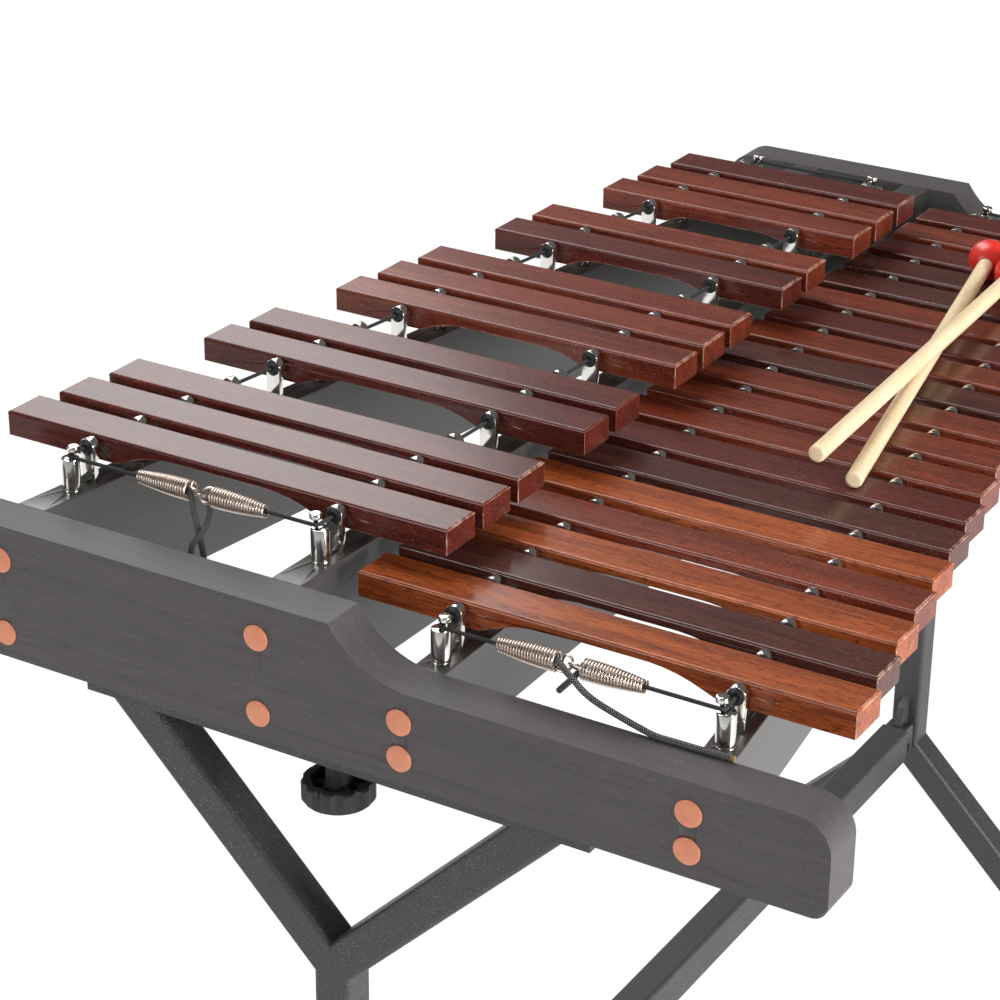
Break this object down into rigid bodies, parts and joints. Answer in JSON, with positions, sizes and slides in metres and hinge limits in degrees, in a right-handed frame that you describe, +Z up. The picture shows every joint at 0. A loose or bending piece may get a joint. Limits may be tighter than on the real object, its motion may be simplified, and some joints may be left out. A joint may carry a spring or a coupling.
{
  "type": "chromatic xylophone on a stand",
  "caption": "Chromatic xylophone: rosewood bars strung on spring-tensioned cords over converging rails, clamped on a tubular trestle stand, with ball mallets laid on the bars.",
  "frame": {"origin": "on the floor, in the middle between the feet", "axes": "+X along the keyboard towards the short, high bars; +Y across it towards the accidental bars, away from the player; +Z up"},
  "size_m": [1.1152, 0.766, 0.9033],
  "materials": {
    "bar_wood": "rosewood under a satin lacquer, each bar its own shade",
    "frame_wood": "black stained wood, satin",
    "plated_steel": "nickel plated, polished",
    "spring_steel": "nickel plated wire",
    "screw_steel": "zinc plated",
    "grommet_rubber": "black rubber",
    "cord": "black braided cord with pale flecks",
    "cap_plastic": "copper coloured caps",
    "stand_steel": "black powder coat with a fine fleck",
    "foot_rubber": "black rubber",
    "knob_plastic": "black moulded plastic",
    "mallet_wood": "pale birch, smooth",
    "mallet_ball": "glossy red"
  },
  "bodies": {
    "instrument": {"bar_f4": "bar_wood", "bar_g4": "bar_wood", "bar_a4": "bar_wood", "bar_b4": "bar_wood", "bar_c5": "bar_wood", "bar_d5": "bar_wood", "bar_e5": "bar_wood", "bar_f5": "bar_wood", "bar_g5": "bar_wood", "bar_a5": "bar_wood", "bar_b5": "bar_wood", "bar_c6": "bar_wood", "bar_d6": "bar_wood", "bar_e6": "bar_wood", "bar_f6": "bar_wood", "bar_g6": "bar_wood", "bar_a6": "bar_wood", "bar_b6": "bar_wood", "bar_c7": "bar_wood", "bar_fs4": "bar_wood", "bar_gs4": "bar_wood", "bar_as4": "bar_wood", "bar_cs5": "bar_wood", "bar_ds5": "bar_wood", "bar_fs5": "bar_wood", "bar_gs5": "bar_wood", "bar_as5": "bar_wood", "bar_cs6": "bar_wood", "bar_ds6": "bar_wood", "bar_fs6": "bar_wood", "bar_gs6": "bar_wood", "bar_as6": "bar_wood", "accidental_outer_rail": "frame_wood", "accidental_inner_rail": "frame_wood", "natural_inner_rail": "frame_wood", "natural_outer_rail": "frame_wood", "accidental_outer_posts": "plated_steel", "accidental_inner_posts": "plated_steel", "natural_inner_posts": "plated_steel", "natural_outer_posts": "plated_steel", "low_end_board": "frame_wood", "high_end_board": "frame_wood", "grommets": "grommet_rubber", "cord_studs": "plated_steel", "rail_screws": "screw_steel", "screw_caps": "cap_plastic", "bar_cords": "cord", "tension_springs": "spring_steel", "natural_cord_tails": "cord", "accidental_cord_tails": "cord", "low_trestle": "stand_steel", "high_trestle": "stand_steel", "stretcher_beam": "stand_steel", "foot_caps": "foot_rubber"},
    "low_knob": {"low_knob": "knob_plastic"},
    "high_knob": {"high_knob": "knob_plastic"},
    "left_mallet": {"left_mallet_stick": "mallet_wood", "left_mallet_head": "mallet_ball"},
    "right_mallet": {"right_mallet_stick": "mallet_wood", "right_mallet_head": "mallet_ball"}
  },
  "joints": [
    {"name": "low_knob_turn", "type": "hinge", "parent": "instrument", "child": "low_knob", "pos_m": [-0.5315, 0, 0.74], "axis": [0, 0, 1], "continuous": true},
    {"name": "high_knob_turn", "type": "hinge", "parent": "instrument", "child": "high_knob", "pos_m": [0.5315, 0, 0.74], "axis": [0, 0, 1], "continuous": true},
    {"name": "left_mallet_lift", "type": "slide", "parent": "instrument", "child": "left_mallet", "axis": [0, 0, 1], "range_m": [0, 0.2]},
    {"name": "right_mallet_draw", "type": "slide", "parent": "instrument", "child": "right_mallet", "axis": [0.9831, 0.1813, 0.0236], "range_m": [0, 0.2]}
  ]
}
